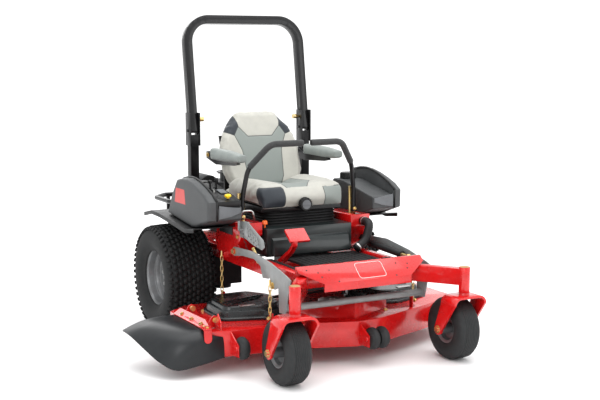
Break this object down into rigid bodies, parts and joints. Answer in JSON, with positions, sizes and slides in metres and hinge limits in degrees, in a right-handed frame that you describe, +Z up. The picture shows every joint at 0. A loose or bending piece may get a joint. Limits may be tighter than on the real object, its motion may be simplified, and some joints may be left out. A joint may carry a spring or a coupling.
{
  "type": "zero turn mower",
  "caption": "Ride-on zero turn mower with a wide side-discharge deck, control levers, suspension seat, rear engine and a folding rollover frame.",
  "frame": {"origin": "on the ground under the middle of the machine's outline", "axes": "+X to the operator's left, -Y forwards, +Z up, and -Z is the way that a pin leaves the hitch hole"},
  "size_m": [1.862, 2.109, 1.79],
  "materials": {
    "red_paint": "glossy red powder coat",
    "grey_paint": "satin grey paint",
    "pod_paint": "satin dark paint",
    "floor_mat": "ribbed matte rubber on plate",
    "black_paint": "semi-gloss black powder coat",
    "zinc_plate": "yellow zinc plate",
    "tank_plastic": "textured dark grey polyethylene",
    "fender_plastic": "satin black plastic",
    "cap_plastic": "satin black plastic",
    "console_plastic": "satin black plastic",
    "knob_orange": "glossy orange plastic",
    "lever_black": "semi-gloss black with foam grip",
    "knob_yellow": "glossy yellow plastic",
    "key_metal": "bright zinc",
    "engine_alloy": "black coated casting",
    "muffler_steel": "heat-tinted steel",
    "drive_alloy": "dark cast housing",
    "hose_rubber": "black rubber",
    "tyre_rubber": "black turf tyre",
    "caster_rubber": "black ribbed tyre",
    "rim_paint": "satin grey paint",
    "fork_paint": "glossy red powder coat",
    "seat_vinyl": "grained light vinyl with dark inserts",
    "armrest_vinyl": "grey grained vinyl",
    "bellows_rubber": "folded black rubber",
    "knob_black": "black plastic",
    "cover_plastic": "glossy black plastic",
    "belt_rubber": "black belt rubber",
    "chain_zinc": "yellow zinc",
    "blade_steel": "machined steel",
    "roller_plastic": "black polyethylene",
    "flap_rubber": "glossy black rubber"
  },
  "bodies": {
    "chassis": {"main_frame": "red_paint", "front_frame": "red_paint", "side_towers": "red_paint", "height_plate": "grey_paint", "seat_pod": "pod_paint", "floor_plate": "floor_mat", "rops_posts": "black_paint", "engine_guard": "black_paint", "fuel_tanks": "tank_plastic", "tank_fenders": "fender_plastic", "fuel_caps": "cap_plastic", "control_console": "console_plastic", "engine_block": "engine_alloy", "muffler": "muffler_steel", "hydro_drives": "drive_alloy", "hydraulic_hose": "hose_rubber", "lift_springs": "hose_rubber", "seat_bellows": "bellows_rubber"},
    "wheel_right": {"tyre_right": "tyre_rubber", "rim_right": "rim_paint"},
    "wheel_left": {"tyre_left": "tyre_rubber", "rim_left": "rim_paint"},
    "caster_right": {"fork_right": "fork_paint"},
    "caster_left": {"fork_left": "fork_paint"},
    "caster_wheel_right": {"caster_tyre_right": "caster_rubber", "caster_rim_right": "rim_paint"},
    "caster_wheel_left": {"caster_tyre_left": "caster_rubber", "caster_rim_left": "rim_paint"},
    "arm_right": {"control_arm_right": "zinc_plate"},
    "arm_left": {"control_arm_left": "zinc_plate"},
    "lever_right": {"control_lever_right": "lever_black"},
    "lever_left": {"control_lever_left": "lever_black"},
    "hoop": {"rops_hoop": "black_paint"},
    "hoop_pin_right": {"rops_pin_right": "key_metal"},
    "hoop_pin_left": {"rops_pin_left": "key_metal"},
    "seat": {"seat_pan": "black_paint", "seat_cushion": "seat_vinyl", "seat_back": "seat_vinyl"},
    "rest_right": {"armrest_right": "armrest_vinyl"},
    "rest_left": {"armrest_left": "armrest_vinyl"},
    "knob": {"ride_knob": "knob_black"},
    "deck": {"deck_shell": "red_paint", "belt_covers": "cover_plastic", "deck_chains": "chain_zinc", "deck_belt": "belt_rubber"},
    "pedal": {"lift_pedal": "red_paint"},
    "lift": {"lift_arms": "grey_paint"},
    "blade_right": {"spindle_right": "blade_steel"},
    "blade_centre": {"spindle_centre": "blade_steel"},
    "blade_left": {"spindle_left": "blade_steel"},
    "deck_roller_front_right": {"roller_front_right": "roller_plastic"},
    "deck_roller_centre_right": {"roller_centre_right": "roller_plastic"},
    "deck_roller_centre_left": {"roller_centre_left": "roller_plastic"},
    "deck_roller_front_left": {"roller_front_left": "roller_plastic"},
    "flap": {"deflector": "flap_rubber"},
    "throttle": {"throttle_lever": "lever_black"},
    "choke": {"choke_lever": "lever_black"},
    "blade_knob": {"pto_knob": "knob_yellow"},
    "key": {"ignition_key": "key_metal"},
    "latch": {"transport_latch": "knob_orange"}
  },
  "joints": [
    {"name": "wheel_right_roll", "type": "hinge", "parent": "chassis", "child": "wheel_right", "pos_m": [-0.393, 0.4045, 0.302], "axis": [1, 0, 0], "continuous": true},
    {"name": "caster_right_swivel", "type": "hinge", "parent": "chassis", "child": "caster_right", "pos_m": [-0.343, -0.9755, 0.4], "axis": [0, 0, 1], "continuous": true},
    {"name": "caster_right_roll", "type": "hinge", "parent": "caster_right", "child": "caster_wheel_right", "pos_m": [-0.343, -0.8905, 0.164], "axis": [1, 0, 0], "continuous": true},
    {"name": "control_right_drive", "type": "hinge", "parent": "chassis", "child": "arm_right", "pos_m": [-0.202, -0.0955, 0.6], "axis": [1, 0, 0], "range_deg": [-10, 20]},
    {"name": "control_right_swing", "type": "hinge", "parent": "arm_right", "child": "lever_right", "pos_m": [-0.202, -0.1128, 0.7], "axis": [0, -1, 0], "range_deg": [0, 20]},
    {"name": "wheel_left_roll", "type": "hinge", "parent": "chassis", "child": "wheel_left", "pos_m": [0.685, 0.4045, 0.302], "axis": [1, 0, 0], "continuous": true},
    {"name": "caster_left_swivel", "type": "hinge", "parent": "chassis", "child": "caster_left", "pos_m": [0.635, -0.9755, 0.4], "axis": [0, 0, 1], "continuous": true},
    {"name": "caster_left_roll", "type": "hinge", "parent": "caster_left", "child": "caster_wheel_left", "pos_m": [0.635, -0.8905, 0.164], "axis": [1, 0, 0], "continuous": true},
    {"name": "control_left_drive", "type": "hinge", "parent": "chassis", "child": "arm_left", "pos_m": [0.494, -0.0955, 0.6], "axis": [1, 0, 0], "range_deg": [-10, 20]},
    {"name": "control_left_swing", "type": "hinge", "parent": "arm_left", "child": "lever_left", "pos_m": [0.494, -0.1128, 0.7], "axis": [0, 1, 0], "range_deg": [0, 20]},
    {"name": "hoop_fold", "type": "hinge", "parent": "chassis", "child": "hoop", "pos_m": [0.146, 0.5095, 1.125], "axis": [-1, 0, 0], "range_deg": [0, 86]},
    {"name": "hoop_pin_right_lock", "type": "slide", "parent": "chassis", "child": "hoop_pin_right", "axis": [1, 0, 0], "range_m": [-0.012, 0]},
    {"name": "hoop_pin_left_lock", "type": "slide", "parent": "chassis", "child": "hoop_pin_left", "axis": [-1, 0, 0], "range_m": [-0.012, 0]},
    {"name": "seat_ride", "type": "slide", "parent": "chassis", "child": "seat", "axis": [0, 0, 1], "range_m": [-0.05, 0], "stiffness_N_per_m": 15000, "springref_m": 0.06, "deforming": ["seat_bellows"]},
    {"name": "armrest_right_fold", "type": "hinge", "parent": "seat", "child": "rest_right", "pos_m": [-0.134, 0.4565, 0.985], "axis": [-1, 0, 0], "range_deg": [0, 80]},
    {"name": "armrest_left_fold", "type": "hinge", "parent": "seat", "child": "rest_left", "pos_m": [0.426, 0.4565, 0.985], "axis": [-1, 0, 0], "range_deg": [0, 80]},
    {"name": "ride_knob_turn", "type": "hinge", "parent": "seat", "child": "knob", "pos_m": [0.146, -0.1715, 0.753], "axis": [0, 1, 0], "continuous": true},
    {"name": "deck_lift", "type": "slide", "parent": "chassis", "child": "deck", "axis": [0, 0, 1], "range_m": [0, 0.06]},
    {"name": "lift_pedal_press", "type": "hinge", "parent": "chassis", "child": "pedal", "pos_m": [-0.054, -0.2355, 0.455], "axis": [1, 0, 0], "range_deg": [0, 25.5]},
    {"name": "lift_arms_raise", "type": "hinge", "parent": "chassis", "child": "lift", "pos_m": [0.146, -0.1505, 0.523], "axis": [-1, 0, 0], "range_deg": [0, 7.5]},
    {"name": "blade_right_spin", "type": "hinge", "parent": "deck", "child": "blade_right", "pos_m": [-0.344, -0.2905, 0.112], "axis": [0, 0, 1], "continuous": true},
    {"name": "blade_centre_spin", "type": "hinge", "parent": "deck", "child": "blade_centre", "pos_m": [0.156, -0.4605, 0.112], "axis": [0, 0, 1], "continuous": true},
    {"name": "blade_left_spin", "type": "hinge", "parent": "deck", "child": "blade_left", "pos_m": [0.656, -0.2905, 0.112], "axis": [0, 0, 1], "continuous": true},
    {"name": "roller_front_right_roll", "type": "hinge", "parent": "deck", "child": "deck_roller_front_right", "pos_m": [-0.476, -0.6805, 0.144], "axis": [1, 0, 0], "continuous": true},
    {"name": "roller_centre_right_roll", "type": "hinge", "parent": "deck", "child": "deck_roller_centre_right", "pos_m": [0.182, -0.8235, 0.144], "axis": [1, 0, 0], "continuous": true},
    {"name": "roller_centre_left_roll", "type": "hinge", "parent": "deck", "child": "deck_roller_centre_left", "pos_m": [0.238, -0.8235, 0.144], "axis": [1, 0, 0], "continuous": true},
    {"name": "roller_front_left_roll", "type": "hinge", "parent": "deck", "child": "deck_roller_front_left", "pos_m": [0.778, -0.6175, 0.144], "axis": [1, 0, 0], "continuous": true},
    {"name": "deflector_lift", "type": "hinge", "parent": "deck", "child": "flap", "pos_m": [-0.624, -0.3955, 0.24], "axis": [0, 1, 0], "range_deg": [0, 90]},
    {"name": "throttle_tilt", "type": "hinge", "parent": "chassis", "child": "throttle", "pos_m": [-0.309, -0.0155, 0.8269], "axis": [1, 0, 0], "range_deg": [-35, 35]},
    {"name": "choke_tilt", "type": "hinge", "parent": "chassis", "child": "choke", "pos_m": [-0.344, -0.0155, 0.8269], "axis": [1, 0, 0], "range_deg": [-35, 35]},
    {"name": "blade_knob_pull", "type": "slide", "parent": "chassis", "child": "blade_knob", "axis": [0, 0, 1], "range_m": [0, 0.015]},
    {"name": "key_turn", "type": "hinge", "parent": "chassis", "child": "key", "pos_m": [-0.374, -0.1155, 0.83], "axis": [0, 0, 1], "range_deg": [0, 90]},
    {"name": "latch_turn", "type": "hinge", "parent": "chassis", "child": "latch", "pos_m": [-0.104, -0.1855, 0.66], "axis": [0, 0, 1], "range_deg": [0, 90]}
  ],
  "couplings": [
    {"joint": "lift_pedal_press", "follows": "deck_lift", "rad_per_m": 7.27},
    {"joint": "lift_arms_raise", "follows": "deck_lift", "rad_per_m": 2.1},
    {"joint": "blade_right_spin", "follows": "blade_centre_spin", "ratio": 1},
    {"joint": "blade_left_spin", "follows": "blade_centre_spin", "ratio": 1}
  ]
}
